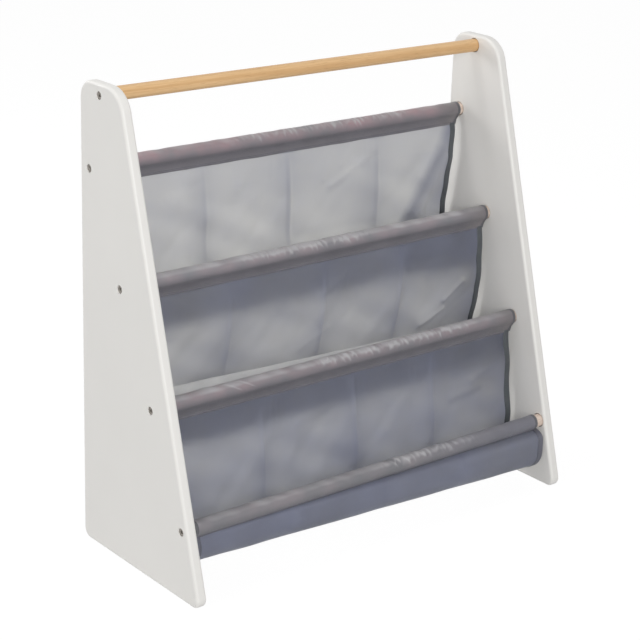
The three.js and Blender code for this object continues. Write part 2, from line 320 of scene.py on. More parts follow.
# Rods
# Five round rods of pale straight-grained wood, lacquered clear. The top one is the bare handle,
# and the other four carry the cloth. Their eased ends sit in the boards' sockets.
rod_radius = 0.009
rod_reach = 0.3107
rod_end_chamfer = 0.001
rod_steps = 72
handle_tones = ((0.80, 0.52, 0.26), (0.635, 0.37, 0.155), (0.40, 0.20, 0.075))
sling_tones = ((0.79, 0.66, 0.57), (0.67, 0.54, 0.45), (0.44, 0.32, 0.25))


def rod_wood(name, offset, tones):
    """Straight grain along X, with rings cut lengthways and short dark pores."""
    pale_wood, warm_wood, dark_wood = tones
    finish = Finish(bpy.data.materials.new(name))
    place = finish.node("ShaderNodeTexCoord", out=3)
    moved = {"Vector": place, "Location": (offset, 0.31 * offset, 0)}
    turned = finish.node("ShaderNodeMapping", None, moved)
    drift = finish.noise(finish.stretched(turned, (2.2, 60, 60)), 1.6, 3)
    fibre = finish.noise(finish.stretched(turned, (14, 700, 700)), 1, 4)
    pores = finish.noise(finish.stretched(turned, (55, 1500, 1500)), 1, 1)
    across, height = finish.axis(turned, 1), finish.axis(turned, 2)
    rings = (across * 240 + height * 410 + drift * 9).math("SINE") * 0.5 + 0.5
    banded = finish.mixed(rings ** 2 * 0.7, pale_wood, warm_wood)
    streaked = finish.mixed((fibre - 0.42) * 2.0, banded, warm_wood)
    specks = finish.node("ShaderNodeMapRange", None, {0: pores, 1: 0.62, 2: 0.74, 3: 0.0, 4: 0.55})
    tone = finish.mixed(specks, streaked, dark_wood)
    rough = 0.42 + fibre * 0.14
    relief = finish.bumped(fibre * 0.6 - specks * 0.8, 0.00012, 0.5)
    sockets = {"Base Color": tone, "Roughness": rough, "Normal": relief, "Coat Weight": 0.2}
    sockets["Coat Roughness"] = 0.3
    return finish.surface(finish.node("ShaderNodeBsdfPrincipled", None, sockets))


rod_profile = [
    (-rod_reach, 0),
    (-rod_reach, rod_radius - rod_end_chamfer),
    (rod_end_chamfer - rod_reach, rod_radius),
    (rod_reach - rod_end_chamfer, rod_radius),
    (rod_reach, rod_radius - rod_end_chamfer),
    (rod_reach, 0),
]
for index, rod_name in enumerate(rod_names):
    rod_mesh = lathe_mesh(f"{rod_name}_wood", rod_profile, rod_steps)
    rod_mesh.transform(Matrix.Translation(rod_centre(rod_name)))
    soften(rod_mesh)
    grain = rod_wood(f"rod_wood_{index}", 0.37 * index, sling_tones if index else handle_tones)
    add_piece(f"{rod_name}_wood", rod_mesh, grain, [rod_name])

# Screws
# Ten countersunk wood screws of plated steel, one through a board into each rod's end. The head
# sits a little under the face and has a cross recess with sloping walls.
screw_sink = 0.0012
screw_head_radius = 0.0052
screw_head_rim = 0.0008
screw_head_cone = 0.003
screw_shank_radius = 0.0022
screw_length = 0.042
screw_point = 0.005
cross_reach = 0.0029
cross_half_width = 0.0007
cross_depth = 0.0018
cross_taper = 0.55


def plated_steel():
    finish = Finish(bpy.data.materials.new("plated_steel"))
    place = finish.node("ShaderNodeTexCoord", out=3)
    stain = finish.noise(place, 420, 4)
    tone = finish.mixed(stain, (0.16, 0.145, 0.13), (0.40, 0.375, 0.34))
    rough = stain * 0.25 + 0.28
    relief = finish.bumped(stain, 0.00005, 0.4)
    sockets = {"Base Color": tone, "Roughness": rough, "Metallic": 0.85, "Normal": relief}
    return finish.surface(finish.node("ShaderNodeBsdfPrincipled", None, sockets))


steel = plated_steel()
screw_profile = [
    (-screw_length, 0),
    (screw_point - screw_length, screw_shank_radius),
    (-screw_head_rim - screw_head_cone, screw_shank_radius),
    (-screw_head_rim, screw_head_radius),
    (-screw_head_rim / 3, screw_head_radius),
    (0, screw_head_radius - screw_head_rim / 3),
    (0, 0),
]
screw_blank = set_down("screw_blank", lathe_mesh("screw", screw_profile, cutter_steps))
cross = bmesh.new()
cross_corners = [
    (cross_reach, -cross_half_width),
    (cross_reach, cross_half_width),
    (cross_half_width, cross_half_width),
]
layers = []
for along, size in ((cut_overrun, 1.0), (0, 1.0), (-cross_depth, cross_taper)):
    layer = []
    for quarter in range(4):
        spin = Matrix.Rotation(quarter * math.pi / 2, 2)
        layer += [cross.verts.new((along, *(spin @ Vector(corner) * size))) for corner in cross_corners]
    layers.append(layer)
for lower, upper in zip(layers, layers[1:]):
    skin(cross, lower, upper)
cross.faces.new(layers[0])
cross.faces.new(layers[-1])
bmesh.ops.recalc_face_normals(cross, faces=cross.faces)
cut_out(screw_blank, [set_down("cross", mesh_of("cross", cross))])
screw_mesh = screw_blank.data
bpy.data.objects.remove(screw_blank)
soften(screw_mesh)
for side, label in ((-1, "left"), (1, "right")):
    for rod_name in rod_names:
        centre = rod_centre(rod_name)
        node = rod_name.replace("_rod", "_screw") + f"_{label}"
        placed = screw_mesh.copy()
        head = Vector((side * (cad_high.x - screw_sink), centre.y, centre.z))
        facing = Matrix.Rotation(0 if side > 0 else math.pi, 4, "Z")
        tilt = Matrix.Rotation(9 * centre.z + side, 4, "X")
        placed.transform(Matrix.Translation(head) @ facing @ tilt)
        add_piece(f"{node}_steel", placed, steel, [node])

# Sleeves
# Each rod wears a sleeve of thin grey polyester, through which the pale wood shows. It is sewn
# to itself in a flat tail under the rod, and lies in small gathers where it was drawn along the
# rod. The third sleeve is loose: its spare cloth stands up behind the rod as a fold.
sleeve_length = 0.598
sleeve_shifts = (0.0005, 0.0025, 0.004, -0.0051)
sleeve_warmths = (1, 0.45, 0.65, 0.2)
# Painted light and shade: each sleeve's thread tones are scaled by its factor, lighter or darker for how
# much light falls on it.
sleeve_painted_lightness = (1.16, 1.14, 1.05, 0.94)
sleeve_radius = 0.0100
sleeve_bore = 0.0092
sleeve_leave_angles = (0.87, 0.87, 0.87, 0.63)
sleeve_end_fold = 0.005
sleeve_end_swell = 0.0003
tail_ends = (0.012, 0.012, 0.012, 0.0054)
tail_necks = [sleeve_radius / math.cos(angle) - sleeve_radius for angle in sleeve_leave_angles]
tail_lengths = [end - neck for end, neck in zip(tail_ends, tail_necks)]
tail_half = 0.0013
tail_side_steps = 10
tube_steps = 76
sleeve_stations = 520
bore_stations = 12
gather_spans = ((0.30, 0.86), (0.26, 0.64), (0.36, 0.86), (0.50, 0.82))
gather_sets = (
    (0.0014, 0.0128, 0.0055, 0),
    (0.0010, 0.0091, 0.0025, 1.7),
    (0.0010, 0.0173, -0.0065, 3.4),
)  # height, pitch, lean round the rod, seed
gather_angle = math.radians(58)
gather_shares = (0.6, 1, 1, 0.95)
gather_reach = 0.55
twisted_folds = ((-0.212, 0.0006), (-0.190, 0.0007))  # start and height
wrinkle_height = 0.00028
loose_rises = (0.0003, 0.0011, 0.0009, 0.0005)
slack_sleeve = 2
slack_rise = 0.0135
slack_run_share = 0.82
slack_lean = math.radians(30)
slack_half = 0.0006
slack_stations = 260
slack_side_steps = 14
slack_root = 0.0003
slack_sway = 0.0009
pleat_rise = 0.0007
pleat_share = 0.034
tail_pinch = 0.32
tail_pinch_width = 0.0008
tail_sway = 0.0001
tail_hang = 0.0004
thread_pitch = 0.00042
thread_depth = 0.00012
stitch_pitch = 0.0032
stitch_length = 0.0023
stitch_radius = 0.00024
stitch_drop = 0.0034
rod_places = [rod_centre(f"sling_rod_{number}") for number in range(1, 5)]


def uneven(distance, pitch, seed):
    """A smooth uneven wave between -1 and 1, with bumps about a pitch apart."""
    turns = 2 * np.pi * np.asarray(distance) / pitch
    waves = [np.sin(turns * pace + seed * shift) for pace, shift in ((1, 1), (0.61, 2.3), (1.37, 4.1))]
    return sum(waves) / 3


def woven_cloth(name, look, glow, loose_and_lit=None, sides=(), along_change=None, clear=0, lets=(0, 0, 0), lines=()):
    """Thin plain-woven polyester. A look is two thread tones and the share of light let through,
    which has the colour of the glow. Other looks fade in where the cloth stands loose off the rod,
    greyer where the wood no longer shows and lighter as a painted highlight, at the start of the
    cloth map and beyond a start along it, and to the sides from a start across. The clear share of
    the light comes nearly straight. The lets change the light by random patches, let less through
    at creases, partly for the creased cloth and partly as painted shade, and paint light and shade
    on the flanks where folds lean. Beyond each of the lines there is painted shade, or painted
    light where the less is negative."""
    finish = Finish(bpy.data.materials.new(name))
    spot = finish.node("ShaderNodeUVMap", {"uv_map": "cloth"})
    across, along = finish.axis(spot, 0), finish.axis(spot, 1)
    turns = 2 * math.pi / thread_pitch
    over = (across * turns).math("SINE") * (along * turns).math("SINE")
    slubs = finish.noise(finish.stretched(spot, (1200, 18, 1)), 1, 2)
    crossings = finish.noise(finish.stretched(spot, (18, 1200, 1)), 1, 2)
    place = finish.node("ShaderNodeTexCoord", out=3)
    cloud, patch = finish.noise(place, 34, 3), finish.noise(place, 13, 1.5)
    weave = over * 0.12 + (slubs + crossings) * 0.3 + (cloud - 0.5) * 2.2 + 0.15

    def ramp(value, low, high, top=1.0):
        return finish.node("ShaderNodeMapRange", None, {0: value, 1: low, 2: high, 4: top})

    def changed(share, tone, passing, look):
        light, dark, through = look
        tone = finish.mixed(share, tone, finish.mixed(weave, light, dark))
        return tone, passing * (1 - share) + share * through

    light, dark, through = look
    tone = finish.mixed(weave, light, dark)
    passing = through + (cloud - 0.5) * 0.06
    # A look that fades in at the start of the cloth map and beyond a start along it: on the sleeves the
    # tail's look, with painted shade under the rod; on the hems painted light over their front half.
    if along_change:
        start, fade, along_look = along_change
        tone, passing = changed(ramp(along, fade, 0), tone, passing, along_look)
    # Where the cloth stands off the rod it turns greyer, as the wood no longer shows through, and
    # lighter as a painted highlight on the top and on the gathers' crests.
    if loose_and_lit:
        loose_and_lit_share = ramp(finish.measure("stand_off"), 0.0001, 0.0011)
        tone, passing = changed(loose_and_lit_share, tone, passing, loose_and_lit)
    if along_change:
        beyond = ramp(along, start + fade / 16, start + fade / 4)
        tone, passing = changed(beyond, tone, passing, along_look)
    for way, start, reach, side_look in sides:
        tone, passing = changed(ramp(across * way, start, start + reach), tone, passing, side_look)
    relief = finish.bumped(over * 0.5 + slubs * 0.35 + crossings * 0.35, thread_depth, 0.5)
    sockets = {"Base Color": tone, "Roughness": 0.32 + slubs * 0.16, "Normal": relief}
    sockets["Sheen Weight"] = 0.15
    if clear:
        crease, lean = finish.measure("crease"), finish.measure("lean")
        patchy, crease_shade, fold_light_and_shade = lets
        # Painted light and shade: less is let through near creases, partly for the creased cloth and
        # partly as painted shade, and fold flanks turned left and down are painted lighter, those turned
        # right and up darker.
        passing = passing + (patch - 0.5) * patchy - crease * crease_shade + lean * fold_light_and_shade
        for (across_turn, along_turn), start, reach, less in lines:
            away = across * across_turn + along * along_turn
            passing = passing - ramp(away, start, start + reach, less)
    front = finish.node("ShaderNodeBsdfPrincipled", None, sockets)
    through = finish.node("ShaderNodeBsdfTranslucent", None, {"Color": (*glow, 1), "Normal": relief})
    if clear:
        sockets = {"Color": (*glow, 1), "Roughness": 0.72, "IOR": 1.4, "Normal": relief}
        straight = finish.node("ShaderNodeBsdfRefraction", None, sockets)
        through = finish.node("ShaderNodeMixShader", None, {0: clear, 1: through, 2: straight})
    return finish.surface(finish.node("ShaderNodeMixShader", None, {0: passing, 1: front, 2: through}))


def grid_mesh(name, points, cloth_map, ring_rows=False, ring_columns=False, **measures):
    """A smooth mesh over rows of points. The cloth map, in metres, has one more row or column
    than the points where they close in a ring. A measure is a value for each point."""
    rows, columns = points.shape[:2]
    row, column = np.meshgrid(
        np.arange(rows if ring_rows else rows - 1),
        np.arange(columns if ring_columns else columns - 1),
        indexing="ij",
    )
    corner_rows = np.stack([row, row, row + 1, row + 1], axis=-1)
    corner_columns = np.stack([column, column + 1, column + 1, column], axis=-1)
    faces = (corner_rows % rows) * columns + corner_columns % columns
    mesh = bpy.data.meshes.new(name)
    mesh.from_pydata(points.reshape(-1, 3).tolist(), [], faces.reshape(-1, 4).tolist())
    layer = mesh.uv_layers.new(name="cloth")
    layer.data.foreach_set("uv", cloth_map[corner_rows, corner_columns].astype(np.float32).ravel())
    for measure, values in measures.items():
        kept = mesh.attributes.new(measure, "FLOAT", "POINT")
        kept.data.foreach_set("value", values.astype(np.float32).ravel())
    mesh.shade_smooth()
    return mesh


def close_up(mesh, ends=()):
    """Adds the faces that close the ends of a mesh, and turns all its faces outward."""
    shape = bmesh.new()
    shape.from_mesh(mesh)
    shape.verts.ensure_lookup_table()
    for corners in ends:
        shape.faces.new([shape.verts[corner] for corner in corners])
    bmesh.ops.recalc_face_normals(shape, faces=shape.faces)
    shape.to_mesh(mesh)
    shape.free()


def flat_ends(rows, columns):
    """The faces that close the first and last rows of a grid whose columns run in a flat ring."""
    for start in (0, (rows - 1) * columns):
        for column in range(columns // 2 - 1):
            other = columns - 1 - column
            yield start + column, start + column + 1, start + other - 1, start + other


def smooth(share):
    return share * share * (3 - 2 * share)


def gathers(index, x, angle):
    """How far the drawn-up cloth stands off, at places along the rod and angles round it."""
    share = x / sleeve_length + 0.5
    low, high = gather_spans[index]
    inside = np.clip((share - low) / 0.06, 0, 1) * np.clip((high - share) / 0.06, 0, 1)
    rise = 0
    for height, pitch, lean, seed in gather_sets:
        seed = seed + 1.3 * index
        leaned = x + lean * (angle - gather_angle) * (1 + 0.8 * uneven(x, 0.023, seed + 2.7))
        turns = 2 * np.pi * leaned / pitch + 2.6 * uneven(x, 0.041, seed + 0.4)
        strength = np.clip(0.5 + 0.9 * uneven(x, 0.057, seed + 0.9), 0.08, 1.2)
        middle = gather_angle + 0.36 * uneven(x, 0.017, seed + 1.1)
        reach = gather_reach * (1 + 0.45 * uneven(x, 0.029, seed + 1.9))
        around = np.exp(-(((angle - middle) / reach) ** 2))
        crests = height * (0.5 + 0.5 * np.cos(turns)) ** 3
        rise = rise + gather_shares[index] * crests * strength * around * inside
    upper = np.clip(1.2 - np.abs(angle - np.pi / 2) / 2, 0, 1)
    soft = uneven(x + 0.012 * angle, 0.036, index + 0.2) * upper
    top = np.clip((angle - 0.45) / 0.5, 0, 1) * np.clip((2.7 - angle) / 0.5, 0, 1)
    billow = 0.75 + 0.45 * uneven(x + 0.006 * angle, 0.052, index + 3.2)
    slack = loose_rises[index] * smooth(top) * billow
    if index == slack_sleeve:
        for start, height in twisted_folds:
            across_fold = (x - start - 0.017 * (1.3 - angle)) / 0.0026
            facing = np.clip(2.2 - np.abs(angle - 0.8) * 2.5, 0, 1)
            slack = slack + height * np.exp(-across_fold**2) * facing
    return rise + wrinkle_height * soft + slack


def tail_ahead(index, x, side, depth):
    """How far ahead of the rod's middle a side of the tail lies, at a depth below its neck."""
    length = tail_lengths[index]
    from_stitches = (depth - min(stitch_drop, length / 2)) / tail_pinch_width
    pinch = 1 - tail_pinch * np.exp(-(from_stitches**2))
    edge = 1 - 0.38 * smooth(np.clip(depth / length / 0.4 - 1.5, 0, 1))
    return side * tail_half * edge * pinch + tail_sway * uneven(x, 0.05, index) * depth / length


def make_sleeve(index):
    centre = rod_places[index]
    leave = sleeve_leave_angles[index] - np.pi / 2
    angle = np.linspace(leave, np.pi - leave, tube_steps + 1)[None, :]
    along = np.linspace(-sleeve_length / 2, sleeve_length / 2, sleeve_stations + 1)[:, None]
    from_end = sleeve_length / 2 - np.abs(along)
    swell = sleeve_end_swell * np.clip((sleeve_end_fold - from_end) / 0.0008 + 0.5, 0, 1)
    stand_off = gathers(index, along, angle)
    reach = sleeve_radius + stand_off + swell
    ahead, up = reach * np.cos(angle), reach * np.sin(angle)
    length = tail_lengths[index]
    top = -sleeve_radius - tail_necks[index]
    shares = np.sin(np.pi / 2 * np.arange(1, tail_side_steps + 1) / tail_side_steps)
    for side, downs in ((-1, shares), (1, shares[::-1])):
        depth = (downs * length)[None, :]
        tail = tail_ahead(index, along, side, depth) + swell * side / 2
        ahead = np.concatenate([ahead, tail], axis=1)
        hang = tail_hang * uneven(along, 0.07, index + 3)
        up = np.concatenate([up, top - depth + hang * depth / length], axis=1)
    x = along + sleeve_shifts[index] + 0 * up
    outer = np.stack([x, centre.y - ahead, centre.z + up], axis=2)
    bottom = np.linspace(np.pi - leave, leave + 2 * np.pi, 2 * tail_side_steps + 2)[None, 1:-1]
    turn = np.concatenate([angle, bottom], axis=1)
    back_along = np.linspace(sleeve_length / 2, -sleeve_length / 2, bore_stations + 1)[:, None]
    bore_x = back_along + sleeve_shifts[index] + 0 * turn
    bore_y = centre.y - sleeve_bore * np.cos(turn) + 0 * back_along
    inner = np.stack([bore_x, bore_y, centre.z + sleeve_bore * np.sin(turn) + 0 * back_along], axis=2)
    points = np.concatenate([outer, inner])
    lifted = np.zeros(points.shape[:2])
    lifted[: len(outer), : tube_steps + 1] = stand_off
    round_map = sleeve_radius * (turn[0, : tube_steps + 1] - leave)
    tail_map = round_map[-1] + length * np.concatenate([shares, 2 - shares[::-1], [2]])
    around = np.concatenate([round_map, tail_map])
    lengthwise = np.concatenate([along[:, 0], back_along[:, 0], along[:1, 0]])
    cloth_map = np.stack(np.broadcast_arrays(lengthwise[:, None], around[None, :]), axis=2)
    mesh = grid_mesh(f"sleeve_{index + 1}", points, cloth_map, True, True, stand_off=lifted)
    close_up(mesh)
    return mesh


def stitches(name, middles, runs, outwards):
    """Small stitches of thread: each lies at a middle, along a run, and bulges outwards."""
    sides = 6
    turns = 2 * np.pi * np.arange(sides) / sides
    beside = np.cross(runs, outwards)
    verts, faces = [], []
    for end, size in ((-1, 0.35), (-0.6, 1), (0.6, 1), (1, 0.35)):
        along = middles + runs * (end * stitch_length / 2)
        for turn in turns:
            ring = outwards * math.cos(turn) + beside * math.sin(turn)
            verts.append(along + ring * (size * stitch_radius))
    verts = np.stack(verts, axis=1)
    for first in range(len(middles)):
        base = first * 4 * sides
        for ring in range(3):
            for side in range(sides):
                after = (side + 1) % sides
                low, high = base + ring * sides, base + (ring + 1) * sides
                faces.append([low + side, low + after, high + after, high + side])
        faces.append([base + side for side in reversed(range(sides))])
        faces.append([base + 3 * sides + side for side in range(sides)])
    mesh = bpy.data.meshes.new(name)
    mesh.from_pydata(verts.reshape(-1, 3).tolist(), [], faces)
    mesh.shade_smooth()
    close_up(mesh)
    return mesh


def grey_thread():
    finish = Finish(bpy.data.materials.new("grey_thread"))
    place = finish.node("ShaderNodeTexCoord", out=3)
    twist = finish.node("ShaderNodeTexWave", None, {"Vector": place, "Scale": 900.0, "Distortion": 1.0})
    tone = finish.mixed(twist, (0.045, 0.048, 0.058), (0.09, 0.095, 0.11))
    sockets = {"Base Color": tone, "Roughness": 0.5, "Sheen Weight": 0.3}
    return finish.surface(finish.node("ShaderNodeBsdfPrincipled", None, sockets))


def tail_stitches(index):
    depth = min(stitch_drop, tail_lengths[index] / 2)
    x = np.arange(-sleeve_length / 2 + stitch_pitch, sleeve_length / 2 - stitch_pitch / 2, stitch_pitch)
    middles, outwards = [], []
    for side in (-1, 1):
        ahead = tail_ahead(index, x, side, depth)
        up = np.full_like(x, rod_places[index].z - sleeve_radius - tail_necks[index] - depth)
        middles.append(np.stack([x + sleeve_shifts[index], rod_places[index].y - ahead, up], axis=1))
        outwards.append(np.tile([0, -side, 0], (len(x), 1)))
    middles, outwards = np.concatenate(middles), np.concatenate(outwards).astype(float)
    runs = np.tile([1.0, 0, 0], (len(middles), 1))
    return stitches(f"tail_stitches_{index + 1}", middles, runs, outwards)


def make_slack():
    """The third sleeve's spare cloth: a thin fold that leans back and dies out to the right."""
    centre = rod_places[slack_sleeve]
    share = np.linspace(0.001, slack_run_share, slack_stations)[:, None]
    fall = 1 - share / slack_run_share
    rise = slack_rise * fall**1.5 * (1 + 0.05 * uneven(share, 0.16, 2.0))
    rise = rise + (sleeve_radius - sleeve_bore)
    up_side = np.linspace(0, 1, slack_side_steps)
    climb = np.concatenate([up_side, up_side[::-1]])[None, :]
    side = np.concatenate([np.ones(slack_side_steps), -np.ones(slack_side_steps)])[None, :]
    half = slack_half * np.sqrt(np.clip(1.02 - climb**8, 0.02, 1)) * side
    pleated = np.clip(1 - np.abs(share - 0.16) / 0.15, 0, 1)
    pleats = pleated * np.sin(2 * np.pi * (share - 0.03 * climb) / pleat_share)
    sway = (slack_sway * uneven(share + 0.1 * climb, 0.21, 0.7) + pleat_rise * pleats) * climb * fall
    out = sleeve_bore + slack_root + rise * climb
    lean = np.pi / 2 + slack_lean
    ahead = out * math.cos(lean) + (half + sway) * math.sin(lean)
    up = out * math.sin(lean) - (half + sway) * math.cos(lean)
    x = (share - 0.5) * sleeve_length + sleeve_shifts[slack_sleeve] + 0 * ahead
    points = np.stack([x, centre.y - ahead, centre.z + up], axis=2)
    spread = np.concatenate([climb[0] * side[0], [climb[0, 0] * side[0, 0]]]) * slack_rise
    cloth_map = np.stack(np.broadcast_arrays(x[:, :1], spread[None, :] + 0.03), axis=2)
    mesh = grid_mesh("slack_fold", points, cloth_map, ring_columns=True)
    close_up(mesh, flat_ends(*points.shape[:2]))
    return mesh


# The tail's look: darker partly because the doubled cloth lets less of the wood through, partly as
# painted shade; it is also painted over the lower front of the round part, where the rod's underside is
# in shade.
tail_and_underside_shade_look = ((0.180, 0.174, 0.200), (0.143, 0.139, 0.160), 0.17)
end_look = ((0.12, 0.122, 0.135), (0.095, 0.097, 0.11), 0.10)
end_sides = [(way, sleeve_length / 2 - sleeve_end_fold, 0.0005, end_look) for way in (-1, 1)]
# Painted shade towards the right board: the first three sleeves darken over their last five centimetres
# or so on the right, and the fourth over its right half.
right_shade_look = ((0.215, 0.215, 0.255), (0.175, 0.175, 0.21), 0.19)
right_end_shade_look = ((0.235, 0.215, 0.225), (0.175, 0.165, 0.175), 0.17)
right_shade_sides = [(1, 0.245, 0.05, right_end_shade_look)] * 3 + [(1, 0.05, 0.20, right_shade_look)]
# Painted light: the spare fold is the sleeve's own cloth, given lighter thread tones for the light it
# catches from above.
slack_lit_look = ((0.58, 0.58, 0.58), (0.48, 0.48, 0.485), 0.35)
slack_lit_cloth = woven_cloth("slack_lit_cloth", slack_lit_look, (0.9, 0.9, 0.9))
thread = grey_thread()
for index in range(4):
    leave = sleeve_leave_angles[index]
    round_part = sleeve_radius * 2 * (math.pi - leave)
    warm = np.array((0.31, 0.305, 0.33)) + sleeve_warmths[index] * np.array((0.07, -0.04, -0.04))
    cool = np.array((0.225, 0.235, 0.258))
    # Painted light and shade: the sleeve's tones scaled by its factor.
    painted_lightness = sleeve_painted_lightness[index]
    sleeve_cloth = woven_cloth(
        f"sleeve_cloth_{index + 1}",
        (warm * painted_lightness, cool * painted_lightness, 0.24),
        (0.9, 0.85, 0.84),
        # Greyer cloth off the wood, with painted highlight on the top and the gathers' crests.
        loose_and_lit=((0.58, 0.58, 0.60), (0.49, 0.49, 0.51), 0.30),
        sides=[right_shade_sides[index]] + end_sides,
        along_change=(round_part, 0.012, tail_and_underside_shade_look),
    )
    nodes = [f"rod_sleeve_{index + 1}"]
    sleeve = add_piece(f"sleeve_{index + 1}", make_sleeve(index), sleeve_cloth, nodes)
    with_it = [add_piece(f"tail_stitches_{index + 1}", tail_stitches(index), thread)]
    if index == slack_sleeve:
        with_it.append(add_piece("slack_fold", make_slack(), slack_lit_cloth))

# Pockets
# Three lengths of the same cloth hang from the sleeves' tails, turn round the bottom and rise to
# the next tail. They keep the upright creases of their packing, small puckers under the seams
# and a soft fold at the right. Their side edges are folded over and stitched.
pocket_width = 0.594
crease_shares = ((0.249, 0.4845, 0.750), (0.244, 0.510, 0.743), (0.246, 0.510, 0.747))
crease_slants = (0.03, -0.012, 0)
crease_strengths = ((0.4, 1.0, 0.5), (0.5, 0.8, 0.8), (0.5, 0.6, 0.5))
cloth_thickness = 0.0005
seam_tuck = 0.003
seam_offset = 0.0010
seam_gap = 0.0003
seam_press_share = 0.55
pocket_drops_left = (0.071, 0.068, 0.055)
pocket_drops_right = (0.087, 0.079, 0.074)
pocket_drops_middle = (0, 0.007, 0)
pocket_waves = (
    (0.005, 0.004, 0, -0.001, -0.0005, -0.001, -0.006, -0.0025, 0),
    (-0.002, 0.003, -0.003, -0.0055, -0.004, -0.007, -0.0055, -0.002, -0.003),
    (0,) * 9,
)
pocket_rear_sets = (-0.012, -0.0075, 0.015)
pocket_front_bulges_left = (0, 0, 0.003)
pocket_front_bulges_right = (0, 0, 0.017)
pocket_rear_shifts = (0.001, 0.0025, 0.003)
pocket_front_shifts_left = (0.0025, 0.003, -0.006)
pocket_front_shifts_right = (0.0025, 0.003, 0.006)
wall_bulges = (0, 0.005, 0)
crease_rise = 0.0026
crease_edge_rise = 0.0014
crease_edge_width = 0.0035
crease_wander = 0.0006
bulge_power = 6
bottom_powers = (0.8, 0.8, 0.9)
folds = (  # across and share down of the start and of the end, height, width
    (
        (0.953, 0.20, 0.893, 0.75, 0.005, 0.018),
        (0.984, 0.31, 0.910, 0.80, 0.0026, 0.0085),
        (0.955, 0.20, 0.905, 0.45, 0.0012, 0.0100),
        (0.723, 0.18, 0.623, 0.37, 0.0014, 0.0070),
        (0.618, 0.10, 0.596, 0.30, 0.0009, 0.0050),
        (0.680, 0.03, 0.647, 0.20, 0.0009, 0.0050),
        (0.531, 0.775, 0.761, 0.788, -0.0010, 0.0080),
        (0.372, 0.06, 0.348, 0.26, 0.0007, 0.0060),
    ),
    (
        (0.937, 0.50, 0.825, 0.84, 0.004, 0.015),
        (0.936, 0.47, 0.884, 0.63, 0.0021, 0.0038),
        (0.885, 0.72, 0.819, 0.835, 0.0021, 0.0042),
        (0.978, 0.62, 0.888, 0.83, 0.0010, 0.0060),
        (0.568, 0.17, 0.500, 0.285, 0.0014, 0.0055),
        (0.768, 0.23, 0.912, 0.27, 0.0010, 0.0070),
        (0.520, 0.62, 0.449, 0.77, 0.0010, 0.0060),
    ),
    (
        (0.955, 0.23, 0.870, 0.36, 0.003, 0.022),
        (0.956, 0.245, 0.873, 0.37, 0.0018, 0.0070),
        (0.775, 0.26, 0.906, 0.25, 0.0012, 0.0075),
        (0.811, 0.49, 0.897, 0.44, 0.0012, 0.0070),
        (0.352, 0.30, 0.440, 0.24, 0.0009, 0.0080),
        (0.600, 0.62, 0.480, 0.85, 0.0009, 0.0090),
    ),
)
# Painted shade beyond lines beside the folds, and painted light where how much less is negative.
shade_lines = (  # across and share down of the start and of the end, offset, reach, how much less
    ((0.936, 0.32, 0.874, 0.78, -0.012, 0.016, 0.25), (0.936, 0.32, 0.874, 0.78, 0.008, 0.012, -0.09)),
    ((0.955, 0.45, 0.812, 0.84, 0.002, 0.022, 0.06),),
    ((0.740, 0.10, 0.740, 0.95, 0, 0.060, -0.09),),
)
# Painted shade lower down on each wall.
low_shades = ((0.11, 0.06, 0.02), (0.06, 0.07, 0.12), (0.02, 0.08, 0.22))  # from, reach, how much less
patch_changes = (0.12, 0.22, 0.26)
# The way along which light is painted on the folds: flanks turned to the left and down are painted
# lighter.
painted_light_ways = (-0.6, 0, -0.8)
puff_rise = 0.0017
front_evenness = (1, 1, 0.25)
pucker_rise = 0.0006
pucker_pitch = 0.0115
pucker_fade = 0.030
drift_rise = 0.0008
pocket_columns = 300
wall_rows = 110
bottom_rows = 64
rise_rows = 26
hem_width = 0.0102
hem_columns = 12
hem_half = 0.0009
hem_wander = 0.0013
hem_lap_share = 0.4
hem_sewn_share = 0.8


def mix(first, second, share):
    return first + (second - first) * share


def seam_height(index):
    return rod_places[index].z - sleeve_radius - tail_ends[index] - seam_gap


def away_from(x, y, start, end):
    """The distance from places to the line between two points, all in metres."""
    line = np.subtract(end, start)
    share = ((x - start[0]) * line[0] + (y - start[1]) * line[1]) / line.dot(line)
    share = np.clip(share, 0, 1)
    return np.hypot(x - start[0] - share * line[0], y - start[1] - share * line[1])


def panels_left(index, across, share):
    """How many of the panels between the upright creases lie to the left of a place."""
    return np.interp(across - crease_slants[index] * share, (0, *crease_shares[index], 1), range(5))


def fold_rise(index, across, share, wall_length):
    """How far creases and folds lift the wall towards the front."""
    x, y = across * pocket_width, share * wall_length
    panels = panels_left(index, across, share)
    rise = crease_rise * (1 - np.abs(np.sin(np.pi * panels))) ** 2
    panel_width = pocket_width / 4
    wandered = panels + crease_wander / panel_width * uneven(y, 0.09, index + 1)
    nearest = np.round(wandered)
    edge_rise = crease_edge_rise * np.interp(nearest, range(5), (0, *crease_strengths[index], 0))
    rise = rise + edge_rise * np.exp(-(((wandered - nearest) * panel_width / crease_edge_width) ** 2))
    for start_across, start_share, end_across, end_share, height, width in folds[index]:
        start = (start_across * pocket_width, start_share * wall_length[0, -1])
        end = (end_across * pocket_width, end_share * wall_length[0, -1])
        away = away_from(x, y, start, end) / width
        rise = rise + height * np.exp(-away * away)
    return rise


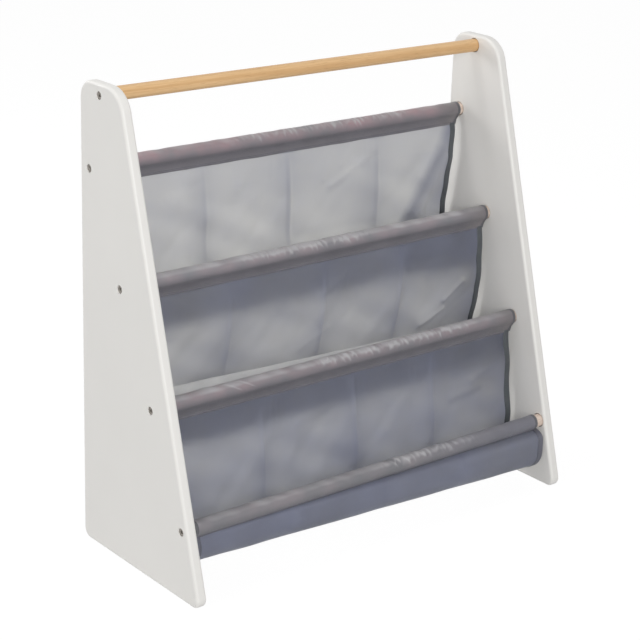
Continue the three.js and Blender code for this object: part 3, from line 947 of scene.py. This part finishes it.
def pocket_middle(index, acrosses, stages, folded=1):
    """The cloth's middle: stage 0 to 1 is down the wall, to 2 round the bottom, to 3 up the front."""
    across, stage = np.asarray(acrosses)[None, :], np.asarray(stages)[:, None]
    rear, front = rod_places[index], rod_places[index + 1]
    rear_ahead, front_ahead = cad_high.y - rear.y, cad_high.y - front.y
    rear_top = (rear_ahead + seam_offset, seam_height(index) + seam_tuck)
    front_top = (front_ahead - seam_offset, seam_height(index + 1) + seam_tuck)
    waves = np.interp(across, np.linspace(0, 1, 9), pocket_waves[index])
    sag = np.sin(np.pi * across) * pocket_drops_middle[index] + waves
    drop = mix(pocket_drops_left[index], pocket_drops_right[index], across) + sag
    bulge = mix(pocket_front_bulges_left[index], pocket_front_bulges_right[index], across)
    rearmost = rear_ahead + pocket_rear_sets[index]
    foremost = front_top[0] + bulge
    radius = (foremost - rearmost) / 2
    centre_ahead, centre_up = (foremost + rearmost) / 2, front.z - drop + radius
    front_shift = mix(pocket_front_shifts_left[index], pocket_front_shifts_right[index], across)
    x = (across - 0.5) * pocket_width + mix(pocket_rear_shifts[index], front_shift, stage / 3)
    wall = np.clip(stage, 0, 1)
    lift = wall_bulges[index] + folded * fold_rise(index, across, wall, rear_top[1] - centre_up)
    pressed = seam_press_share * seam_offset
    wall_ahead = mix(rear_top[0], rearmost, smooth(wall)) + lift * np.sin(np.pi * wall)
    wall_ahead = wall_ahead - pressed * (1 - smooth(np.clip(wall / 0.1, 0, 1)))
    wall_up = mix(rear_top[1], centre_up, wall)
    turn = np.clip(stage - 1, 0, 1) * np.pi
    squared = bottom_powers[index]
    bottom_ahead = centre_ahead - radius * np.sign(np.cos(turn)) * np.abs(np.cos(turn)) ** squared
    bottom_up = centre_up - radius * np.abs(np.sin(turn)) ** squared
    climb = np.clip(stage - 2, 0, 1)
    front_ahead = front_top[0] + (foremost - front_top[0]) * (1 - climb**bulge_power)
    front_ahead = front_ahead + pressed * smooth(np.clip(climb * 2 - 1, 0, 1))
    front_up = mix(centre_up, front_top[1], climb)
    ahead = np.where(stage < 1, wall_ahead, np.where(stage < 2, bottom_ahead, front_ahead))
    up = np.where(stage < 1, wall_up, np.where(stage < 2, bottom_up, front_up))
    return np.stack(np.broadcast_arrays(x, cad_high.y - ahead, up), axis=2)


def outward_of(middle):
    outward = np.cross(np.gradient(middle, axis=1), np.gradient(middle, axis=0))
    return outward / np.linalg.norm(outward, axis=2, keepdims=True)


def length_down(middle):
    steps = np.linalg.norm(np.diff(middle, axis=0), axis=2).mean(axis=1)
    return np.concatenate([[0], np.cumsum(steps)])


def pocket_surface(index, acrosses, stages):
    """The cloth's middle with its soft unevenness, the way out of its front, the length down, how
    far its folds lean down and to the left, and how near each place is to a crease."""
    middle = pocket_middle(index, acrosses, stages)
    outward, down = outward_of(middle), length_down(middle)
    across, below = np.asarray(acrosses)[None, :], down[:, None]
    x, above = across * pocket_width, down[-1] - below
    held = np.clip(below / 0.02, 0, 1) * np.clip(above / 0.02, 0, 1)
    stage = np.asarray(stages)[:, None]
    crease = 1 - np.abs(np.sin(np.pi * panels_left(index, across, np.clip(stage, 0, 1))))
    puff = (1 - crease) ** 1.4 * (0.7 + 0.5 * uneven(below + x, 0.19, index + 1))
    turns = 2 * np.pi * x / pucker_pitch + 2.4 * uneven(x, 0.05, index + 0.5)
    strength = np.clip(0.4 + 0.9 * uneven(x, 0.11, 1.7 * index), 0, 1.2)
    pucker = (0.5 + 0.5 * np.cos(turns)) ** 2 * strength
    hang = pucker * (np.exp(-below / pucker_fade) + 0.8 * np.exp(-above / pucker_fade * 2))
    for away in (below, above):
        hang = hang * np.clip((away - seam_tuck) / 0.012, 0, 1)
    drift = uneven(x + 0.6 * below, 0.083, index + 2) + uneven(0.5 * x - below, 0.066, index + 4)
    drift = drift + 0.4 * uneven(0.8 * x + 0.7 * below, 0.037, index + 5)
    evened = mix(1, front_evenness[index], smooth(np.clip(stage - 0.8, 0, 1)))
    lift = (puff_rise * puff + drift_rise * drift) * held * evened - pucker_rise * hang
    lift = lift - np.maximum(lift, 0) * np.clip(2.2 - np.minimum(below, above) / 0.03, 0, 1)
    middle = middle + outward * lift[:, :, None]
    smooth_outward = outward_of(pocket_middle(index, acrosses, stages, folded=0))
    folded_outward = outward_of(middle)
    # How far each fold's flank turns along the painted light's way, for painted light and shade on it.
    lean = (folded_outward - smooth_outward) @ np.array(painted_light_ways)
    return middle, folded_outward, down, lean, crease**2


def pocket_stages():
    walls = np.arange(wall_rows) / wall_rows
    bottoms = 1 + np.arange(bottom_rows) / bottom_rows
    return np.concatenate([walls, bottoms, 2 + np.arange(rise_rows + 1) / rise_rows])


def cloth_strip(name, index, acrosses, halves, wander=0):
    """Closed cloth over the places across, with half its thickness given at each of them."""
    middle, outward, down, lean, crease = pocket_surface(index, acrosses, pocket_stages())
    middle[:, :, 0] += wander * uneven(down, 0.06, index)[:, None]
    offset = outward * np.asarray(halves)[None, :, None]
    points = np.concatenate([middle + offset, (middle - offset)[:, ::-1]], axis=1)
    places = np.concatenate([acrosses, acrosses[::-1], acrosses[:1]]) * pocket_width
    cloth_map = np.stack(np.broadcast_arrays(places[None, :], down[:, None]), axis=2)
    lean, crease = [np.concatenate([part, part[:, ::-1]], axis=1) for part in (lean, crease)]
    mesh = grid_mesh(name, points, cloth_map, ring_columns=True, lean=lean, crease=crease)
    close_up(mesh, flat_ends(*points.shape[:2]))
    return mesh


def hem_stitches(index, label, across):
    """A row of stitches down the front and the back of a hem."""
    beside = np.array([across - 0.001, across, across + 0.001])
    middle, outward, down = pocket_surface(index, beside, pocket_stages())[:3]
    middle, outward = middle[:, 1], outward[:, 1]
    middle[:, 0] += hem_wander * uneven(down, 0.06, index)
    places = np.arange(stitch_pitch * 2, down[-1] - stitch_pitch * 2, stitch_pitch)
    along = np.stack([np.interp(places, down, middle[:, axis]) for axis in range(3)], axis=1)
    out = np.stack([np.interp(places, down, outward[:, axis]) for axis in range(3)], axis=1)
    out /= np.linalg.norm(out, axis=1, keepdims=True)
    run = np.gradient(along, axis=0)
    run -= out * (run * out).sum(axis=1, keepdims=True)
    run /= np.linalg.norm(run, axis=1, keepdims=True)
    outwards = np.concatenate([out, -out])
    middles = np.tile(along, (2, 1)) + outwards * hem_half
    return stitches(f"hem_stitches_{index + 1}_{label}", middles, np.tile(run, (2, 1)), outwards)


def darker_beyond(index, wall_length):
    """The lines beyond which a wall is painted darker: painted shade beside folds and low down, and
    painted light where the less is negative.
    """
    lines = [((0, 1), *low_shades[index])]
    for start_across, start_share, end_across, end_share, offset, reach, less in shade_lines[index]:
        start = Vector((start_across * pocket_width, start_share * wall_length))
        run = Vector((end_across * pocket_width, end_share * wall_length)) - start
        away = Vector((run.y, -run.x)).normalized()
        lines.append((tuple(away), away.dot(start) + offset, reach, less))
    return lines


hem_share = hem_width / pocket_width
for index in range(3):
    down = length_down(pocket_middle(index, [0.8, 0.9, 0.99], pocket_stages()))
    pocket_cloth = woven_cloth(
        f"pocket_cloth_{index + 1}",
        ((0.245, 0.266, 0.372), (0.20, 0.216, 0.305), 0.70),
        (0.985, 0.978, 0.950),
        clear=0.72,
        # Random patches, painted shade at creases and painted light and shade on the folds' flanks.
        lets=(patch_changes[index], 0.10, 0.42),
        lines=darker_beyond(index, float(down[wall_rows])),
    )
    under = float(down[wall_rows + bottom_rows // 2])
    hem_cloth = woven_cloth(
        f"hem_cloth_{index + 1}",
        ((0.095, 0.105, 0.115), (0.07, 0.08, 0.09), 0.12),
        (0.5, 0.52, 0.55),
        # Painted light: from the middle of the bottom on, the hem's front half gets a lighter look than
        # its back.
        along_change=(under, 0.0004, ((0.20, 0.20, 0.25), (0.15, 0.155, 0.20), 0.3)),
    )
    lapped = hem_share * hem_lap_share
    places = np.linspace(lapped, 1 - lapped, pocket_columns)
    halves = np.full(pocket_columns, cloth_thickness / 2)
    mesh = cloth_strip(f"pocket_{index + 1}", index, places, halves)
    nodes = [f"pocket_cloth_{index + 1}"]
    cloth = add_piece(f"pocket_{index + 1}", mesh, pocket_cloth, nodes)
    with_it = []
    inset = hem_share * hem_sewn_share
    swell = hem_half * np.sqrt(np.clip(1 - np.linspace(-1, 1, hem_columns) ** 6, 0.02, 1))
    hems = (("left", 0, hem_share, inset), ("right", 1 - hem_share, 1, 1 - inset))
    for label, start, end, sewn in hems:
        name = f"hem_{index + 1}_{label}"
        hem_places = np.linspace(start, end, hem_columns)
        hem_mesh = cloth_strip(name, index, hem_places, swell, hem_wander)
        with_it.append(add_piece(name, hem_mesh, hem_cloth, [f"pocket_{name}"]))
        sewing = hem_stitches(index, label, sewn)
        with_it.append(add_piece(f"hem_stitches_{index + 1}_{label}", sewing, thread))
    drop_length = float(length_down(pocket_middle(index, [0.1, 0.5, 0.9], pocket_stages()))[-1])

# Floor, light and camera
# The piece stands on a wide pale floor under soft studio light. To the camera the floor is white
# with the piece's faint shadow on it.
floor_half = 12.0
floor_gap = 0.0002
floor_white = 0.65
floor_glow = 1.11
studio_light = 0.38


def background_rays(finish, straight, other):
    """The share of the white background seen straight, and mirrored or through something."""
    seen = finish.node("ShaderNodeLightPath", out="Is Camera Ray") * straight
    for ray in ("Is Glossy Ray", "Is Transmission Ray"):
        seen = seen.math("MAXIMUM", finish.node("ShaderNodeLightPath", out=ray) * other)
    return seen


def floor_finish():
    finish = Finish(bpy.data.materials.new("studio_floor"))
    matt = finish.node("ShaderNodeBsdfDiffuse", None, {"Color": (floor_white,) * 3 + (1,)})
    glow = finish.node("ShaderNodeEmission", None, {"Color": (1, 1, 1, 1), "Strength": floor_glow})
    seen = background_rays(finish, 0.85, 0.8)
    return finish.surface(finish.node("ShaderNodeMixShader", None, {0: seen, 1: matt, 2: glow}))


floor_mesh = bpy.data.meshes.new("studio_floor")
floor_signs = ((-1, -1), (1, -1), (1, 1), (-1, 1))
floor_corners = [(x * floor_half, y * floor_half, 0) for x, y in floor_signs]
floor_mesh.from_pydata(floor_corners, [], [(0, 1, 2, 3)])
floor_mesh.materials.append(floor_finish())
set_down("studio_floor", floor_mesh, (0, 0, cad_low.z - floor_gap))

world = bpy.data.worlds.new("studio")
bpy.context.scene.world = world
studio = Finish(world, "ShaderNodeOutputWorld")
lit = studio.node("ShaderNodeBackground", None, {"Color": (1, 1, 1, 1), "Strength": studio_light})
white = studio.node("ShaderNodeBackground", None, {"Color": (1, 1, 1, 1), "Strength": 1.0})
sky_rays = background_rays(studio, 1, 1)
studio.surface(studio.node("ShaderNodeMixShader", None, {0: sky_rays, 1: lit, 2: white}))

lamp_aim = Vector((0, 0, 0.3))
for name, place, width, power in (
    ("shadow_lamp", (-0.87, 0.8, 3.2), 0.5, 8.5),
    ("overhead_softbox", (-0.55, 0.6, 3.2), 1.7, 13),
    ("back_softbox", (-1.2, 2.1, 1.3), 1.0, 15),
    ("front_softbox", (-1.2, -2.7, 1.4), 1.6, 47),
    ("side_softbox", (-3.0, 0.0, 0.4), 1.0, 5.5),
):
    lamp = bpy.data.lights.new(name, "AREA")
    lamp.shape, lamp.size, lamp.energy = "DISK", width, power
    holder = set_down(name, lamp, place)
    holder.rotation_mode = "QUATERNION"
    holder.rotation_quaternion = (Vector(place) - lamp_aim).to_track_quat("Z", "Y")

camera_azimuth = math.radians(-39.814)
camera_elevation = math.radians(19.741)
camera_roll = math.radians(2.051)
camera_place = Vector((-1.48696, -1.74544, 1.10091))
camera_lens = 102.37
camera = bpy.data.cameras.new("camera")
camera.lens, camera.sensor_width = camera_lens, 36
camera.clip_start, camera.clip_end = 0.1, 100
back = Vector((
    math.sin(camera_azimuth) * math.cos(camera_elevation),
    -math.cos(camera_azimuth) * math.cos(camera_elevation),
    math.sin(camera_elevation),
))
eye = set_down("camera", camera, camera_place)
eye.rotation_mode = "QUATERNION"
eye.rotation_quaternion = Quaternion(back, camera_roll) @ back.to_track_quat("Z", "Y")
bpy.context.scene.camera = eye
bpy.context.scene.view_settings.view_transform = "Standard"
